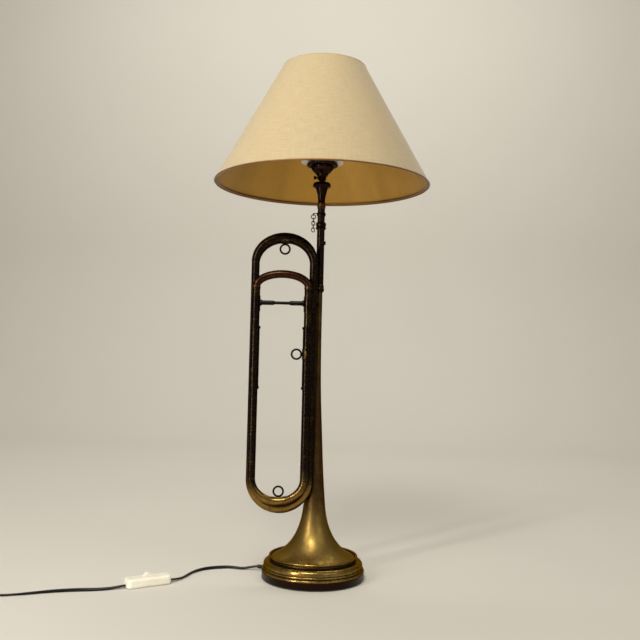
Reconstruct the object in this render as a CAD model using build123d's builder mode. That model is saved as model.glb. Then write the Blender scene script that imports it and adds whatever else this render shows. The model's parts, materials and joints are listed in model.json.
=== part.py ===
from build123d import *
import os
from math import cos, pi, radians, sin, sqrt, tan

# A table lamp made from a field bugle. The bell stands mouth down on a turned
# base, the lampholder is screwed into the mouthpiece, and the flex runs down
# the bore. Millimetres. The origin is the centre of the base's underside, +Z
# runs up the bell, +X is to the right and -Y is the side of the two loops.

# ---- base -------------------------------------------------------------------
BASE_RADIUS = 70.0
FELT_HEIGHT = 1.5
PLINTH_TOP = 10.4
PLINTH_HOLE = 20.0
MOULDING_TOP = 28.3
CAVITY_RADIUS = 52.0
CAVITY_TOP = 20.0
EXIT_ANGLE = 158.0
EXIT_HEIGHT = 5.2

# ---- bell and stem -----------------------------------------------------------
RIM_RADIUS = 60.6
RIM_BEAD = 1.6
BELL_WALL = 0.8
STEM_RADIUS = 4.3
STEM_TOP = 398.0
PIPE_RADIUS = 5.3
PIPE_TOP = 486.0
FLEX_BORE = 2.6

# ---- loops of tubing ---------------------------------------------------------
TUBE_RADIUS = 5.5
TUBE_WALL = 0.6
REAR_PLANE = -16.0
REAR_CENTRE = -48.3
REAR_HALF = 40.0
REAR_LOW = 136.0
REAR_HIGH = 430.0
REAR_RISE = 34.7
FRONT_PLANE = -28.5
FRONT_CENTRE = -49.8
FRONT_HALF = 35.5
FRONT_LOW = 137.0
FRONT_DROP = 30.0
SLEEVE_LOW = 257.0
SLEEVE_HIGH = 342.0
SLEEVE_RADIUS = 6.2
LEG_RADIUS = 5.35
SLIDE_HIGH = 396.0
SLIDE_RISE = 17.5
SLIDE_FOOT = 292.0
BRACE_HEIGHT = 374.0

# ---- chain, lampholder and shade ---------------------------------------------
CHAIN_X = -10.8
EYE_HEIGHT = 501.0
WIRE = 0.62
LINK_GAP = 0.15
RING_RADIUS = 3.0
LINK_RADIUS = 2.1
LINK_STRAIGHT = 1.8
FLANGE_RADIUS = 22.1
HOLDER_RADIUS = 19.5
HOLDER_TOP = 603.0
SOCKET_RADIUS = 13.3
SHELL_LOW = 583.0
SHELL_HIGH = 600.0
FITTER_HEIGHT = 574.9
SHADE_BOTTOM = 541.8
SHADE_TOP = 708.9
SHADE_WIDE = 150.0
SHADE_NARROW = 57.9
FABRIC = 0.8
LINING = 0.4

# ---- flex, switch and plug ---------------------------------------------------
FLEX_WIDTH = 4.4
FLEX_HALF = FLEX_WIDTH / 2
SWITCH_LENGTH = 60.0
SWITCH_WIDTH = 20.0
SWITCH_SEAM = 8.5
SWITCH_TOP = 12.0
SWITCH_TURN = 212.5
ROCKER_PIVOT = 9.5
ROCKER_TILT = -7.0
COIL_X = -440.0
COIL_Y = -95.0
COIL_MEAN = 24.5
COIL_SPREAD = 11.2
COIL_HEIGHT = 9.0
PLUG_HEIGHT = 6.9

os.makedirs("parts", exist_ok=True)


def keep(piece, name):
    """Label one finished piece and write it."""
    piece.part.label = name
    export_step(piece.part, f"parts/{name}.step")


def turned(*outline):
    """A piece turned about the lamp's axis, from (radius, height) points."""
    with BuildPart() as piece:
        with BuildSketch(Plane.XZ):
            with BuildLine():
                Polyline(*outline, close=True)
            make_face()
        revolve(axis=Axis.Z)
    return piece


def upright_tubes(places, low, high, outer, inner):
    """Straight upright tubes at the (x, y) places."""
    with BuildPart() as piece:
        with BuildSketch(Plane.XY.offset(low)):
            with Locations(*places):
                Circle(outer)
                Circle(inner, mode=Mode.SUBTRACT)
        extrude(amount=high - low)
    return piece


def bow(centre, plane_y, start, half, rise, end_radius, crown_radius):
    """A bent tube over two legs; a negative rise hangs below its legs."""
    facing = Plane(origin=(centre, plane_y, start), x_dir=(1, 0, 0), z_dir=(0, -1, 0))
    with BuildLine(facing) as path:
        if rise > 0:
            EllipticalCenterArc((0, 0), half, rise, start_angle=0, arc_size=180)
        else:
            EllipticalCenterArc((0, 0), half, -rise, start_angle=180, arc_size=180)
    line = path.wires()[0]
    with BuildPart() as piece:
        for skin, mode in ((0, Mode.ADD), (TUBE_WALL, Mode.SUBTRACT)):
            for place, radius in ((0, end_radius), (0.5, crown_radius), (1, end_radius)):
                with BuildSketch(Plane(line ^ place)):
                    Circle(radius - skin)
            sweep(path=line, multisection=True, mode=mode)
    return piece


def flex(points, name):
    """A round length of flex through hand-laid points, with wide easy bends."""
    places = [Vector(*point) for point in points]
    radii = []
    for before, here, after in zip(places, places[1:], places[2:]):
        turn = (here - before).get_angle(after - here)
        shorter = min((here - before).length, (after - here).length)
        radii.append(0.45 * shorter / tan(radians(turn) / 2))
    with BuildLine() as path:
        FilletPolyline(*points, radius=radii)
    line = path.wires()[0]
    with BuildPart() as piece:
        with BuildSketch(Plane(line ^ 0)):
            Circle(FLEX_HALF)
        sweep(path=line)
    expected = pi * FLEX_HALF**2 * line.length
    print(name, "radii", [round(radius, 1) for radius in radii])
    print(name, "length", round(line.length, 1), "volume", piece.part.volume / expected)
    return piece


# ---- base --------------------------------------------------------------------
exit_x = cos(radians(EXIT_ANGLE))
exit_y = sin(radians(EXIT_ANGLE))

base_felt = turned((0, 0), (BASE_RADIUS - 1.2, 0), (BASE_RADIUS - 1.2, FELT_HEIGHT), (0, FELT_HEIGHT))
keep(base_felt, "base_felt")

channel = Plane(origin=(0, 0, EXIT_HEIGHT), x_dir=(-exit_y, exit_x, 0), z_dir=(exit_x, exit_y, 0))
with BuildPart() as base_plinth:
    with BuildSketch(Plane.XZ):
        with BuildLine():
            Polyline((PLINTH_HOLE, FELT_HEIGHT), (BASE_RADIUS - 0.4, FELT_HEIGHT),
                     (BASE_RADIUS, FELT_HEIGHT + 0.6), (BASE_RADIUS, PLINTH_TOP - 0.5),
                     (BASE_RADIUS - 0.5, PLINTH_TOP), (PLINTH_HOLE, PLINTH_TOP), close=True)
        make_face()
    revolve(axis=Axis.Z)
    with BuildSketch(channel):
        Circle(3.2)
    extrude(amount=BASE_RADIUS + 5, mode=Mode.SUBTRACT)
keep(base_plinth, "base_plinth")

with BuildPart() as base_moulding:
    with BuildSketch(Plane.XZ):
        with BuildLine():
            Polyline((5.2, MOULDING_TOP), (5.2, CAVITY_TOP), (CAVITY_RADIUS, CAVITY_TOP),
                     (CAVITY_RADIUS, PLINTH_TOP), (69.3, PLINTH_TOP))
            ThreePointArc((69.3, PLINTH_TOP), (70.1, 12.1), (68.6, 13.6))
            Line((68.6, 13.6), (67.4, 14.4))
            ThreePointArc((67.4, 14.4), (68.6, 16.0), (67.2, 17.3))
            ThreePointArc((67.2, 17.3), (67.4, 21.6), (63.6, 25.0))
            Polyline((63.6, 25.0), (60.2, 25.3), (57.0, 26.0), (56.6, 27.4), (57.6, MOULDING_TOP),
                     (5.2, MOULDING_TOP))
        make_face()
    revolve(axis=Axis.Z)
keep(base_moulding, "base_moulding")

ROD_LOW = 13.0
ROD_HIGH = 118.0
conduit_rod = upright_tubes([(0, 0)], ROD_LOW, ROD_HIGH, 5.0, 3.2)
keep(conduit_rod, "conduit_rod")

PLUG_LOW = 96.0
PLUG_HIGH = 111.0
throat_plug = turned((5.05, PLUG_LOW), (14.0, PLUG_LOW), (12.2, PLUG_HIGH), (5.05, PLUG_HIGH))
keep(throat_plug, "throat_plug")

with BuildPart() as rod_nuts:
    for low, across in ((CAVITY_TOP - 5.2, 8.5), (PLUG_HIGH, 8.5)):
        with BuildSketch(Plane.XY.offset(low)):
            RegularPolygon(across, 6)
            Circle(5.05, mode=Mode.SUBTRACT)
        extrude(amount=5.2)
keep(rod_nuts, "rod_nuts")

# ---- bell and stem -----------------------------------------------------------
flare = [(RIM_RADIUS - 1.6, 29.0), (44.0, 37.0), (30.6, 50.8), (18.4, 78.0), (13.7, 112.0),
         (10.3, 160.0), (8.0, 205.0), (5.9, 245.0), (4.7, 290.0), (STEM_RADIUS, 335.0)]
inside = []
for before, here, after in zip([flare[0]] + flare, flare, flare[1:] + [flare[-1]]):
    run = sqrt((after[0] - before[0])**2 + (after[1] - before[1])**2)
    inside.append((here[0] - BELL_WALL * (after[1] - before[1]) / run,
                   here[1] + BELL_WALL * (after[0] - before[0]) / run))
with BuildPart() as bell:
    with BuildSketch(Plane.XZ):
        with BuildLine():
            Spline(*flare)
            Polyline(flare[-1], (STEM_RADIUS, STEM_TOP), (inside[-1][0], STEM_TOP), inside[-1])
            Spline(*inside)
            Line(inside[0], flare[0])
        make_face()
    revolve(axis=Axis.Z)
keep(bell, "bell")

with BuildPart() as bell_rim:
    with BuildSketch(Plane.XZ):
        with Locations((RIM_RADIUS - RIM_BEAD, 30.6)):
            Circle(RIM_BEAD)
    revolve(axis=Axis.Z)
    add(bell.part, mode=Mode.SUBTRACT)
keep(bell_rim, "bell_rim")

stem_ferrule = turned((4.35, 392), (5.2, 392), (6.3, 394), (6.4, 396.5), (5.8, 398.2),
                      (6.1, 400), (5.6, 402.5), (5.35, 402.5), (5.35, 398.05), (4.35, 398.05))
keep(stem_ferrule, "stem_ferrule")

with BuildPart() as mouthpipe:
    with BuildSketch(Plane.XY.offset(STEM_TOP + 0.1)):
        Circle(PIPE_RADIUS)
    extrude(amount=PIPE_TOP - STEM_TOP - 0.1)
    with BuildSketch(Plane(origin=(0, 0, 461), x_dir=(0, 1, 0), z_dir=(1, 0, 0))):
        Circle(2.6)
    extrude(amount=PIPE_RADIUS + 1.9)
    with BuildSketch(Plane.XY.offset(STEM_TOP)):
        Circle(PIPE_RADIUS - TUBE_WALL - 0.2)
    extrude(amount=PIPE_TOP - STEM_TOP + 1, mode=Mode.SUBTRACT)
keep(mouthpipe, "mouthpipe")

receiver_collar = turned((5.35, 480), (6.7, 480), (7.2, 481.5), (6.8, 483.2), (6.2, 484),
                         (6.8, 484.8), (7.2, 487), (6.8, 489), (6.1, 489.8), (5.35, 489.8))
keep(receiver_collar, "receiver_collar")

mouthpiece = turned((FLEX_BORE, 478), (4.4, 478), (4.4, PIPE_TOP + 0.1), (5.0, PIPE_TOP + 0.1),
                    (5.05, 508), (5.15, 517.5), (5.0, 521.5), (5.3, 525), (6.0, 529), (7.4, 534),
                    (8.3, 537.6), (9.3, 539), (11.8, 539.4), (12.6, 541), (12.3, 543.6),
                    (11, 545.6), (9.8, 545.6), (9.2, 544.6), (8.4, 541), (5.6, 532),
                    (FLEX_BORE, 525))
keep(mouthpiece, "mouthpiece")

mouthpiece_band = turned((5.3, 509.4), (5.9, 510), (5.7, 513), (5.9, 516), (5.3, 516.8))
keep(mouthpiece_band, "mouthpiece_band")

with BuildPart() as chain_collar:
    with BuildSketch(Plane.XZ):
        with BuildLine():
            Polyline((5.1, 499), (6.0, 499), (6.4, 501.2), (6.0, 503.4), (5.1, 503.4), close=True)
        make_face()
    revolve(axis=Axis.Z)
    with BuildSketch(Plane(origin=(-5.6, 0, EYE_HEIGHT + 1.45), x_dir=(0, 1, 0), z_dir=(-1, 0, 0))):
        Circle(0.6)
    extrude(amount=-CHAIN_X - 5.6)
    with Locations(Location((CHAIN_X, 0, EYE_HEIGHT), (0, 90, 0))):
        Torus(1.6, 0.6)
keep(chain_collar, "chain_collar")


def stadium_link(height, radius, straight, sideways):
    """A closed link of round wire, swept round two sides and two half turns."""
    run = (0, 1, 0) if sideways else (1, 0, 0)
    face = Plane(origin=(CHAIN_X, 0, height), x_dir=run, z_dir=(1, 0, 0) if sideways else (0, -1, 0))
    half = straight / 2
    with BuildLine(face) as path:
        Line((radius, -half), (radius, half))
        CenterArc((0, half), radius, 0, 180)
        Line((-radius, half), (-radius, -half))
        CenterArc((0, -half), radius, 180, 180)
    line = path.wires()[0]
    with BuildPart() as piece:
        with BuildSketch(Plane(line ^ 0)):
            Circle(WIRE)
        sweep(path=line)
    return piece


ring_height = EYE_HEIGHT - 1.6 + 0.6 + WIRE + LINK_GAP - RING_RADIUS
with BuildPart() as chain_ring:
    with Locations(Location((CHAIN_X, 0, ring_height), (90, 0, 0))):
        Torus(RING_RADIUS, WIRE)
keep(chain_ring, "chain_ring")

# Each link hangs with its top wire LINK_GAP above the bottom wire of the one above.
hang = ring_height - RING_RADIUS
print("chain pivot 0", round(EYE_HEIGHT - 1.6, 3))
for number in range(1, 5):
    print("chain pivot", number, round(hang, 3))
    middle = hang + 2 * WIRE + LINK_GAP - LINK_RADIUS - LINK_STRAIGHT / 2
    link = stadium_link(middle, LINK_RADIUS, LINK_STRAIGHT, sideways=number % 2 == 1)
    keep(link, f"chain_link_{number}")
    hang = middle - LINK_STRAIGHT / 2 - LINK_RADIUS

# ---- rear loop ---------------------------------------------------------------
rear_places = [(REAR_CENTRE - REAR_HALF, REAR_PLANE), (REAR_CENTRE + REAR_HALF, REAR_PLANE)]
for name, place in zip(("rear_left_tube", "rear_right_tube"), rear_places):
    rear_tube = upright_tubes([place], REAR_LOW, REAR_HIGH, TUBE_RADIUS, TUBE_RADIUS - TUBE_WALL)
    keep(rear_tube, name)

rear_top_bow = bow(REAR_CENTRE, REAR_PLANE, REAR_HIGH, REAR_HALF, REAR_RISE, TUBE_RADIUS, 7.4)
keep(rear_top_bow, "rear_top_bow")

rear_bottom_bow = bow(REAR_CENTRE, REAR_PLANE, REAR_LOW, REAR_HALF, -REAR_HALF, TUBE_RADIUS, 6.8)
keep(rear_bottom_bow, "rear_bottom_bow")

# ---- front loop and its tuning slide -----------------------------------------
front_left = (FRONT_CENTRE - FRONT_HALF, FRONT_PLANE)
front_right = (FRONT_CENTRE + FRONT_HALF, FRONT_PLANE)
front_tubes = upright_tubes([front_left, front_right], FRONT_LOW, SLEEVE_LOW,
                            LEG_RADIUS, LEG_RADIUS - TUBE_WALL)
keep(front_tubes, "front_tubes")

front_bottom_bow = bow(FRONT_CENTRE, FRONT_PLANE, FRONT_LOW, FRONT_HALF, -FRONT_DROP,
                       LEG_RADIUS, LEG_RADIUS)
keep(front_bottom_bow, "front_bottom_bow")

slide_sleeves = upright_tubes([front_left, front_right], SLEEVE_LOW, SLEEVE_HIGH,
                              SLEEVE_RADIUS, LEG_RADIUS + 0.05)
keep(slide_sleeves, "slide_sleeves")

with BuildPart() as sleeve_rings:
    for low, high, proud in ((SLEEVE_HIGH - 3.6, SLEEVE_HIGH, 1.0), (SLEEVE_LOW, SLEEVE_LOW + 4, 0.8)):
        with BuildSketch(Plane.XY.offset(low)):
            with Locations(front_left, front_right):
                Circle(SLEEVE_RADIUS + proud)
                Circle(SLEEVE_RADIUS, mode=Mode.SUBTRACT)
        extrude(amount=high - low)
    chamfer(sleeve_rings.edges().filter_by(GeomType.CIRCLE).filter_by(
        lambda edge: edge.radius > SLEEVE_RADIUS + 0.2), length=0.5)
keep(sleeve_rings, "sleeve_rings")

slide_bow = bow(FRONT_CENTRE, FRONT_PLANE, SLIDE_HIGH, FRONT_HALF, SLIDE_RISE,
                LEG_RADIUS, LEG_RADIUS)
keep(slide_bow, "slide_bow")

slide_legs = upright_tubes([front_left, front_right], SLIDE_FOOT, SLIDE_HIGH,
                           LEG_RADIUS, LEG_RADIUS - TUBE_WALL)
keep(slide_legs, "slide_legs")

with BuildPart() as slide_collars:
    for low, high, proud in ((362, 383, 0.7), (SLIDE_HIGH - 3, SLIDE_HIGH, 0.5)):
        with BuildSketch(Plane.XY.offset(low)):
            with Locations(front_left, front_right):
                Circle(LEG_RADIUS + proud)
                Circle(LEG_RADIUS, mode=Mode.SUBTRACT)
        extrude(amount=high - low)
keep(slide_collars, "slide_collars")

brace_reach = FRONT_HALF - LEG_RADIUS - 0.7
with BuildPart() as slide_brace:
    brace_plane = Plane(origin=(FRONT_CENTRE, FRONT_PLANE, BRACE_HEIGHT),
                        x_dir=(1, 0, 0), z_dir=(0, -1, 0))
    with BuildSketch(brace_plane):
        with BuildLine():
            Polyline((-brace_reach, 0), (-brace_reach, 4.2), (1.6 - brace_reach, 4.2),
                     (2.4 - brace_reach, 3.1), (-12, 3.1), (-9.5, 2.1), (9.5, 2.1), (12, 3.1),
                     (brace_reach - 2.4, 3.1), (brace_reach - 1.6, 4.2), (brace_reach, 4.2),
                     (brace_reach, 0), close=True)
        make_face()
    revolve(axis=Axis((0, FRONT_PLANE, BRACE_HEIGHT), (1, 0, 0)))
keep(slide_brace, "slide_brace")

# ---- cord rings, their feet and the stays -------------------------------------
RING_WIRE = 1.3
UPPER_RING = (REAR_CENTRE, REAR_PLANE, 449.2)
SIDE_RING = (-28.6, FRONT_PLANE, 305.0)
LOWER_RING = (-48.4, FRONT_PLANE, 120.5)
with BuildPart() as cord_rings:
    for spot in (UPPER_RING, SIDE_RING, LOWER_RING):
        with Locations(Location(spot, (90, 0, 0))):
            Torus(6.5, RING_WIRE)
keep(cord_rings, "cord_rings")

# Each foot is a thin saddle cut from a skin round the tube that it sits on.
SKIN = TUBE_WALL + 0.02
upper_skin = bow(REAR_CENTRE, REAR_PLANE, REAR_HIGH, REAR_HALF, REAR_RISE, TUBE_RADIUS + SKIN, 7.4 + SKIN)
side_skin = upright_tubes([front_right], 290, 320, SLEEVE_RADIUS + SKIN, SLEEVE_RADIUS + 0.02)
lower_skin = bow(FRONT_CENTRE, FRONT_PLANE, FRONT_LOW, FRONT_HALF, -FRONT_DROP,
                 LEG_RADIUS + SKIN, LEG_RADIUS + SKIN)
with BuildPart() as ring_feet:
    for skin, x, z, radius in ((upper_skin, UPPER_RING[0], 455.6, 6.0), (side_skin, -22.0, 305.0, 7.4),
                               (lower_skin, LOWER_RING[0], 114.2, 9.0)):
        with BuildPart(mode=Mode.PRIVATE) as foot:
            with BuildSketch(Plane(origin=(x, 0, z), x_dir=(1, 0, 0), z_dir=(0, -1, 0))):
                Circle(radius)
            extrude(amount=60)
            add(skin.part, mode=Mode.INTERSECT)
        add(foot.part)
    add(cord_rings.part, mode=Mode.SUBTRACT)
keep(ring_feet, "ring_feet")

# Stays run centre to centre between two round tubes, cut short at each skin.
rear_right = rear_places[1]
stay_runs = [(rear_right, (0, 0), 375, TUBE_RADIUS, STEM_RADIUS, 2.2),
             (rear_right, (0, 0), 172, TUBE_RADIUS, 9.6, 2.2)]
for height, front_radius in ((280, SLEEVE_RADIUS), (155, LEG_RADIUS)):
    stay_runs.append((front_left, rear_places[0], height, front_radius, TUBE_RADIUS, 2.6))
    stay_runs.append((front_right, rear_right, height, front_radius, TUBE_RADIUS, 2.6))
with BuildPart() as stays:
    for start, end, height, start_radius, end_radius, radius in stay_runs:
        along = Vector(end[0] - start[0], end[1] - start[1], 0)
        first = Vector(*start, height) + along.normalized() * (start_radius - 0.2)
        with BuildSketch(Plane(origin=first, z_dir=along)):
            Circle(radius)
        extrude(amount=along.length - start_radius - end_radius + 0.4)
keep(stays, "stays")

# ---- lampholder --------------------------------------------------------------
cup_bush = turned((4.05, 532.5), (5.2, 532.5), (8.0, 541), (8.8, 544.4), (4.05, 544.4))
keep(cup_bush, "cup_bush")

holder_nipple = upright_tubes([(0, 0)], 530, 558, 4.0, FLEX_BORE)
keep(holder_nipple, "holder_nipple")

with BuildPart() as holder_nut:
    with BuildSketch(Plane.XY.offset(549.5)):
        RegularPolygon(5.6, 6)
        Circle(4.05, mode=Mode.SUBTRACT)
    extrude(amount=5.5)
keep(holder_nut, "holder_nut")

with BuildPart() as grip_screw:
    with BuildSketch(Plane(origin=(-5.2, 0, 552.8), x_dir=(0, 1, 0), z_dir=(-1, 0, 0))):
        Circle(1.3)
    extrude(amount=3)
    with BuildSketch(Plane(origin=(-8.2, 0, 552.8), x_dir=(0, 1, 0), z_dir=(-1, 0, 0))):
        Circle(2.3)
    extrude(amount=3.6)
keep(grip_screw, "grip_screw")

holder_cap = turned((4.1, 555.2), (7.6, 555.2), (8.4, 558), (11.0, 560.4), (13.8, 562.8), (15.4, 566),
                    (16.0, 568.6), (21.4, 569.3), (FLANGE_RADIUS, 570.4), (21.6, 571.8),
                    (14.8, 571.8), (14.2, 566.4), (12.2, 563.6), (9.6, 561.4), (7.4, 559.8),
                    (4.1, 559.8))
keep(holder_cap, "holder_cap")

holder_body = turned((15.2, 571.9), (HOLDER_RADIUS, 571.9), (HOLDER_RADIUS, 601), (18.6, HOLDER_TOP),
                     (14.4, HOLDER_TOP), (14.4, 601), (15.2, 600))
keep(holder_body, "holder_body")

with BuildPart() as shade_ring_nut:
    with BuildSketch(Plane.XY.offset(FITTER_HEIGHT + 1.0)):
        Circle(FLANGE_RADIUS + 0.6)
        Circle(HOLDER_RADIUS + 0.05, mode=Mode.SUBTRACT)
        with PolarLocations(FLANGE_RADIUS + 0.8, 36):
            Circle(0.6, mode=Mode.SUBTRACT)
    extrude(amount=5)
keep(shade_ring_nut, "shade_ring_nut")

holder_insulator = turned((0, 572), (15.1, 572), (15.1, SHELL_LOW), (SOCKET_RADIUS - 0.7, SHELL_LOW),
                          (SOCKET_RADIUS - 0.7, 577), (0, 577))
keep(holder_insulator, "holder_insulator")

screw_shell = upright_tubes([(0, 0)], SHELL_LOW, SHELL_HIGH, SOCKET_RADIUS + 0.5, SOCKET_RADIUS)
keep(screw_shell, "screw_shell")

with BuildPart() as centre_contact:
    with BuildSketch(Plane(origin=(0, 2.5, 0), x_dir=(1, 0, 0), z_dir=(0, -1, 0))):
        with BuildLine():
            Polyline((-6, 577.05), (-6, 577.65), (-2.4, 577.65), (1.0, 581.2), (4.4, 581.2), (4.4, 580.6),
                     (1.3, 580.6), (-2.1, 577.05), close=True)
        make_face()
    extrude(amount=5)
keep(centre_contact, "centre_contact")

# ---- shade -------------------------------------------------------------------
SHADE_SLOPE = (SHADE_WIDE - SHADE_NARROW) / (SHADE_TOP - SHADE_BOTTOM)
shade_cover = turned((SHADE_WIDE, SHADE_BOTTOM), (SHADE_NARROW, SHADE_TOP),
                     (SHADE_NARROW - FABRIC, SHADE_TOP), (SHADE_WIDE - FABRIC, SHADE_BOTTOM))
keep(shade_cover, "shade_cover")

shade_lining = turned((SHADE_WIDE - FABRIC, SHADE_BOTTOM), (SHADE_NARROW - FABRIC, SHADE_TOP),
                      (SHADE_NARROW - FABRIC - LINING, SHADE_TOP),
                      (SHADE_WIDE - FABRIC - LINING, SHADE_BOTTOM))
keep(shade_lining, "shade_lining")

SHADE_WIRE = 1.3
with BuildPart() as shade_wires:
    for height in (SHADE_BOTTOM + 2.0, SHADE_TOP - 2.0):
        inside = SHADE_WIDE - (height - SHADE_BOTTOM) * SHADE_SLOPE - FABRIC - LINING
        with Locations((0, 0, height)):
            Torus(inside - SHADE_WIRE * 1.25, SHADE_WIRE)
keep(shade_wires, "shade_wires")

arm_top = SHADE_NARROW + 2.0 * SHADE_SLOPE - FABRIC - LINING - SHADE_WIRE * 1.25
with BuildPart() as shade_spider:
    with BuildSketch(Plane.XY.offset(FITTER_HEIGHT - 0.6)):
        Circle(30.0)
        Circle(HOLDER_RADIUS + 0.7, mode=Mode.SUBTRACT)
    extrude(amount=1.2)
    for turn in (90, 210, 330):
        out_x = cos(radians(turn))
        out_y = sin(radians(turn))
        arm_face = Plane(origin=(0, 0, 0), x_dir=(out_x, out_y, 0), z_dir=(out_y, -out_x, 0))
        with BuildLine(arm_face) as arm:
            FilletPolyline((28.6, FITTER_HEIGHT), (50.0, 584), (arm_top, 632), (arm_top - 1, SHADE_TOP - 4.2),
                           radius=[9, 30])
        with BuildSketch(Plane(arm.wires()[0] ^ 0)):
            Circle(SHADE_WIRE)
        sweep(path=arm.wires()[0])
keep(shade_spider, "shade_spider")

# ---- flex: inside the lamp, to the switch, to the plug -------------------------
relief_end = (-78.0, 31.5, EXIT_HEIGHT)
reach = sqrt(relief_end[0]**2 + relief_end[1]**2)
with BuildLine() as inner_route:
    FilletPolyline((0, 0, 568), (0, 0, EXIT_HEIGHT), relief_end, radius=6.0)
with BuildPart() as internal_flex:
    with BuildSketch(Plane(inner_route.wires()[0] ^ 0)):
        Circle(FLEX_HALF)
    sweep(path=inner_route.wires()[0])
keep(internal_flex, "internal_flex")

outward = Plane(origin=(0, 0, EXIT_HEIGHT), x_dir=(-relief_end[1], relief_end[0], 0),
                z_dir=(relief_end[0], relief_end[1], 0))
with BuildPart() as base_relief:
    with BuildSketch(outward.offset(62)):
        Circle(3.1)
    with BuildSketch(outward.offset(reach)):
        Circle(2.7)
    loft()
    with BuildSketch(outward.offset(60)):
        Circle(FLEX_HALF + 0.02)
    extrude(amount=30, mode=Mode.SUBTRACT)
keep(base_relief, "base_relief")

switch_x = cos(radians(SWITCH_TURN))
switch_y = sin(radians(SWITCH_TURN))
entry = (-188.0, -43.0, 3.5)
middle = (entry[0] + switch_x * SWITCH_LENGTH / 2, entry[1] + switch_y * SWITCH_LENGTH / 2)
leave = (entry[0] + switch_x * SWITCH_LENGTH, entry[1] + switch_y * SWITCH_LENGTH, entry[2])

to_switch = [relief_end, (-90, 36.2, 4.2), (-106, 36.5, 2.5), (-126, 31.5, 2.2), (-145, 25.5, 2.2),
             (-159.5, 13.5, 2.2), (-168, -3, 2.2), (-171.5, -20.5, 2.3), (-177.5, -35.5, 2.9), entry]
keep(flex(to_switch, "flex_to_switch"), "flex_to_switch")

to_coil = [leave, (-251, -82.5, 2.8), (-271, -91, 2.3), (-297, -96, 2.2), (-324, -104, 2.2),
           (-350, -115.5, 2.2), (-378, -124.5, 2.2), (-408, -128.8, 2.2), (COIL_X + 12, COIL_Y - 33.4, 2.3)]
keep(flex(to_coil, "flex_to_coil"), "flex_to_coil")

with BuildPart() as flex_coil:
    with BuildSketch():
        with Locations((COIL_X, COIL_Y)):
            Circle(COIL_MEAN + COIL_SPREAD)
            Circle(COIL_MEAN - COIL_SPREAD, mode=Mode.SUBTRACT)
    extrude(amount=COIL_HEIGHT)
keep(flex_coil, "flex_coil")

PLUG_X = COIL_X - 36.0
PLUG_Y = COIL_Y + 30.0
to_plug = [(COIL_X - 33.2, COIL_Y + 4, 6.7), (COIL_X - 34.2, COIL_Y + 16, 6.8), (PLUG_X, PLUG_Y, PLUG_HEIGHT)]
keep(flex(to_plug, "flex_tail"), "flex_tail")

# ---- in-line switch ------------------------------------------------------------
on_table = Plane(origin=(middle[0], middle[1], 0), x_dir=(switch_x, switch_y, 0), z_dir=(0, 0, 1))
with BuildPart() as switch_base:
    with BuildSketch(on_table):
        RectangleRounded(SWITCH_LENGTH, SWITCH_WIDTH, 6)
    extrude(amount=SWITCH_SEAM)
    fillet(switch_base.faces().sort_by(Axis.Z)[0].edges(), radius=2.8)
    with BuildSketch(on_table.offset(1.8)):
        RectangleRounded(SWITCH_LENGTH - 4, SWITCH_WIDTH - 4, 4)
    extrude(amount=SWITCH_SEAM, mode=Mode.SUBTRACT)
keep(switch_base, "switch_base")

with BuildPart() as switch_cover:
    with BuildSketch(on_table.offset(SWITCH_SEAM)):
        RectangleRounded(SWITCH_LENGTH, SWITCH_WIDTH, 6)
    extrude(amount=SWITCH_TOP - SWITCH_SEAM)
    fillet(switch_cover.faces().sort_by(Axis.Z)[-1].edges(), radius=3.2)
    with BuildSketch(on_table.offset(SWITCH_SEAM - 1)):
        RectangleRounded(SWITCH_LENGTH - 4, SWITCH_WIDTH - 4, 4)
    extrude(amount=SWITCH_TOP - SWITCH_SEAM - 0.6, mode=Mode.SUBTRACT)
    with BuildSketch(on_table.offset(SWITCH_SEAM)):
        Rectangle(15.4, 8.8)
    extrude(amount=SWITCH_TOP, mode=Mode.SUBTRACT)
keep(switch_cover, "switch_cover")

upright = Plane(origin=(middle[0], middle[1], ROCKER_PIVOT), x_dir=(switch_x, switch_y, 0),
                z_dir=(switch_y, -switch_x, 0))
across = Plane(upright.location * Location((0, 0, 0), (0, 0, ROCKER_TILT)))
with BuildPart() as switch_rocker:
    with BuildSketch(across.offset(-4)):
        with BuildLine():
            Polyline((-6.6, -1.2), (-6.6, 2.8), (-1.2, 7.0), (0.8, 7.0), (6.6, 2.8), (6.6, -1.2), close=True)
        make_face()
    extrude(amount=8)
keep(switch_rocker, "switch_rocker")

with BuildPart() as switch_terminals:
    with BuildSketch(on_table.offset(1.9)):
        with Locations((-17, 0), (17, 0)):
            Rectangle(11, 7)
    extrude(amount=6)
keep(switch_terminals, "switch_terminals")

# ---- two-pin plug ----------------------------------------------------------------
toward_pins = Plane(origin=(PLUG_X, PLUG_Y, PLUG_HEIGHT), x_dir=(1, 0, 0), z_dir=(0, 1, 0))
with BuildPart() as plug_body:
    for start, sizes, end, end_sizes in ((0, (5.6, 5.6), 16, (9.0, 8.4)), (16, (9.0, 8.4), 24, (26, 13)),
                                         (24, (26, 13), 46, (35.0, 13.4))):
        with BuildSketch(toward_pins.offset(start)):
            RectangleRounded(*sizes, min(sizes) * 0.42)
        with BuildSketch(toward_pins.offset(end)):
            RectangleRounded(*end_sizes, min(end_sizes) * 0.42)
        loft()
keep(plug_body, "plug_body")

with BuildPart() as plug_pins:
    with BuildSketch(toward_pins.offset(46)):
        with Locations((-9.3, 0), (9.3, 0)):
            Circle(2.0)
    extrude(amount=19)
keep(plug_pins, "plug_pins")
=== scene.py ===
import json
import math

import bpy
from bpy.props import FloatProperty, FloatVectorProperty, IntProperty, PointerProperty
from bpy.types import Operator, Panel, PropertyGroup
from mathutils import Matrix, Vector, noise


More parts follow.
